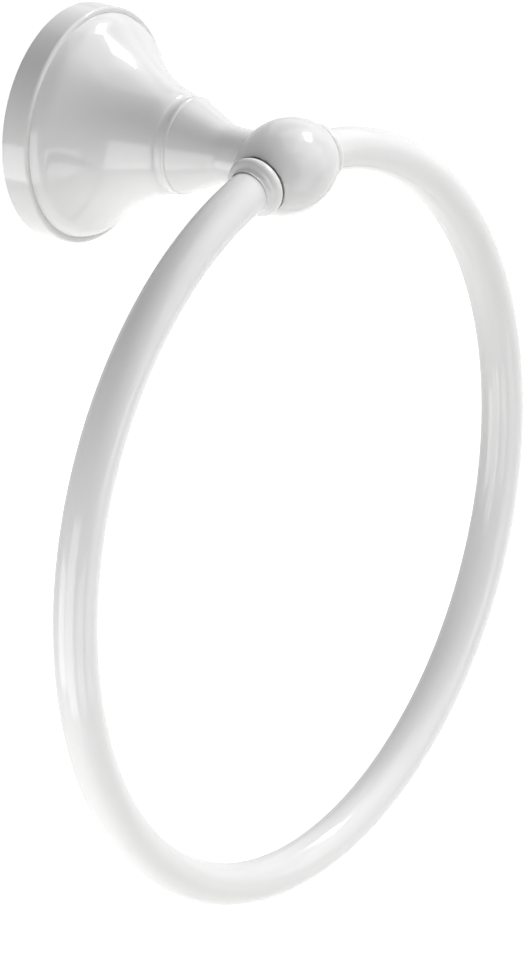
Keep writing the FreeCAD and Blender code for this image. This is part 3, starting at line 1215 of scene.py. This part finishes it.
@dataclass
class Studio:
    """The camera, the pale floor, the world and the lamps."""

    layout: Layout
    azimuth: float = -54.544
    elevation: float = 23.002
    roll: float = -1.755
    distance: float = 1717.2 * MM
    right_offset: float = -7.41 * MM
    up_offset: float = 6.46 * MM
    focal_pixels: float = 7916.4
    frame_pixels: float = 977.0
    sensor: float = 36.0
    farthest_view: float = 100.0
    floor_drop: float = 0.7
    floor_size: float = 12.0
    floor_lift: float = 0.86
    world_strength: float = 0.05
    lamps: tuple[Softbox, ...] = (
        Softbox("window_softbox", 71.0, 43.0, 0.44, 0.24, 8.2),
        Softbox("high_softbox", 58.0, 58.0, 1.6, 1.3, 7.4),
        Softbox("right_softbox", 104.0, 42.0, 1.7, 1.5, 4.7),
        Softbox("front_softbox", 34.0, 40.0, 1.5, 1.2, 4.4),
        Softbox("front_fill", 30.0, 13.0, 1.5, 1.2, 4.6),
        Softbox("left_card", -88.0, -6.0, 0.34, 0.54, 1.4, 0.55, LOWER_RING),
        Softbox("back_card", -125.0, -8.0, 0.30, 0.30, 0.8, 0.55, LOWER_RING),
        Softbox("front_card", -40.0, -12.0, 0.28, 0.30, 0.4, 0.55, LOWER_RING),
        Softbox("low_card", 5.0, -8.0, 0.34, 0.34, 0.4, 0.55, LOWER_RING),
    )

    def place_camera(self) -> None:
        """Put the camera where the photograph was taken from, aimed by its two offsets."""
        azimuth = math.radians(self.azimuth)
        roll = math.radians(self.roll)
        back = outward(self.azimuth, self.elevation)
        level = Vector((math.cos(azimuth), math.sin(azimuth), 0.0))
        upright = back.cross(level)
        right = level * math.cos(roll) + upright * math.sin(roll)
        up = upright * math.cos(roll) - level * math.sin(roll)
        place = self.layout.ring_centre + right * self.right_offset + up * self.up_offset
        place += back * self.distance
        data = bpy.data.cameras.new("camera")
        data.sensor_width = self.sensor
        data.lens = self.focal_pixels * self.sensor / self.frame_pixels
        data.clip_end = self.farthest_view
        camera = bpy.data.objects.new("camera", data)
        bpy.context.scene.collection.objects.link(camera)
        turn = Matrix((right, up, back)).transposed()
        camera.matrix_world = Matrix.Translation(place) @ turn.to_4x4()
        bpy.context.scene.camera = camera

    def backdrop_strength(self, tree: Tree, fill: float, seen: float) -> Socket:
        """Tell rays that see the backdrop, from the camera, a gloss or a glass, from those that fill.

        Args:
            tree: The node tree that takes the nodes.
            fill: The strength for rays that only fill.
            seen: The strength for rays that see the backdrop.

        Returns:
            The strength's socket.
        """
        path = add_node(tree, "ShaderNodeLightPath")
        sees = path.outputs["Is Camera Ray"]
        for kind in ("Is Glossy Ray", "Is Transmission Ray"):
            either = add_node(tree, "ShaderNodeMath", {"operation": "MAXIMUM"})
            tree.links.new(sees, either.inputs[0])
            tree.links.new(path.outputs[kind], either.inputs[1])
            sees = either.outputs["Value"]
        limits = {"To Min": fill, "To Max": seen}
        return add_node(tree, "ShaderNodeMapRange", limits, {"Value": sees}).outputs["Result"]

    def build_world(self) -> None:
        """Make the world white to the eye and an even soft fill to everything else."""
        world = bpy.data.worlds.new("studio_world")
        world.use_nodes = True
        tree = world.node_tree
        tree.nodes.clear()
        strength = self.backdrop_strength(tree, self.world_strength, 1.0)
        background = add_node(tree, "ShaderNodeBackground", {"Color": linear_colour(WHITE)},
                              {"Strength": strength})
        add_node(tree, "ShaderNodeOutputWorld", links={"Surface": background.outputs["Background"]})
        bpy.context.scene.world = world

    def build_floor(self) -> None:
        """Lay a pale floor below the object, white to the eye, which still shows the object's shadow."""
        floor = add_primitive("studio_floor", bpy.ops.mesh.primitive_plane_add, size=self.floor_size,
                              location=(0.0, 0.0, -self.floor_drop))
        material, tree = empty_material("matt_white_paper")
        lift = self.backdrop_strength(tree, 0.0, self.floor_lift)
        paper = add_node(tree, "ShaderNodeBsdfDiffuse", {"Color": linear_colour("#F4F4F2")})
        glow = add_node(tree, "ShaderNodeEmission", {"Color": linear_colour(WHITE)}, {"Strength": lift})
        both = add_node(tree, "ShaderNodeAddShader")
        tree.links.new(paper.outputs["BSDF"], both.inputs[0])
        tree.links.new(glow.outputs["Emission"], both.inputs[1])
        add_node(tree, "ShaderNodeOutputMaterial", links={"Surface": both.outputs["Shader"]})
        dress(floor, material)

    def build(self) -> None:
        """Set up everything that stands round the object."""
        self.place_camera()
        self.build_world()
        self.build_floor()
        for lamp in self.lamps:
            lamp.build()
        bpy.context.scene.view_settings.view_transform = "Standard"


def seat_piece(piece: Piece, node: str, material: Material) -> None:
    """Dress a new piece, let it stand for its solid, and make it move with the object.

    Args:
        piece: The finished piece.
        node: The solid that it stands for.
        material: Its material.
    """
    dress(piece, material)
    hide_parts(node)
    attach(piece, "root")
    LOG.info("%s: %d faces", piece.name, len(piece.data.polygons))


def main() -> None:
    """Build the pieces in order, dress them, and set up the studio."""
    logging.basicConfig(level=logging.INFO, format="%(name)s %(message)s")
    layout = Layout.from_frame()
    LOG.info("ring radius %.4f, tube radius %.5f, reach %.4f", layout.ring_radius, layout.tube_radius,
             layout.projection)
    post_enamel = Enamel("cured_enamel_on_zinc", ("#EAEBEA", "#E5E6E5")).material()
    # The ring and its collars take the post's enamel painted lighter: the same paint, lightened to stand in
    # for the brighter light that falls on the ring.
    ring_enamel_painted_lighter = Enamel("cured_enamel_painted_lighter", ("#F3F4F3", "#EEEFEE")).material()
    # Near-black painted shade for the dark crevice of the near joint.
    joint_shade_paint = JointShadePaint().material()
    bracket = WallBracket()
    screw = GrubScrew(layout, bracket)
    post = Post(layout, bracket, screw)
    casting = post.build()
    seat_piece(casting, "post", post_enamel)
    # Only the near joint gets painted shade; the far joint stays enamelled.
    post.paint_seat_shade(casting, joint_shade_paint, Side.LEFT)
    seat_piece(Ring(layout).build(), "ring", ring_enamel_painted_lighter)
    for collar in (Collar(layout, Side.LEFT), ClosedCollar(layout, Side.RIGHT)):
        bead = collar.build()
        seat_piece(bead, collar.node, ring_enamel_painted_lighter)
        # The near collar's base gets painted shade for the shadow in its joint.
        if collar.shaded_joint:
            collar.paint_base_shade(bead, joint_shade_paint)
    seat_piece(bracket.build(), "wall_bracket", ZincPlate().material())
    seat_piece(screw.build(), "set_screw", StainlessSteel().material())
    Studio(layout).build()


if __name__ == "__main__":
    main()
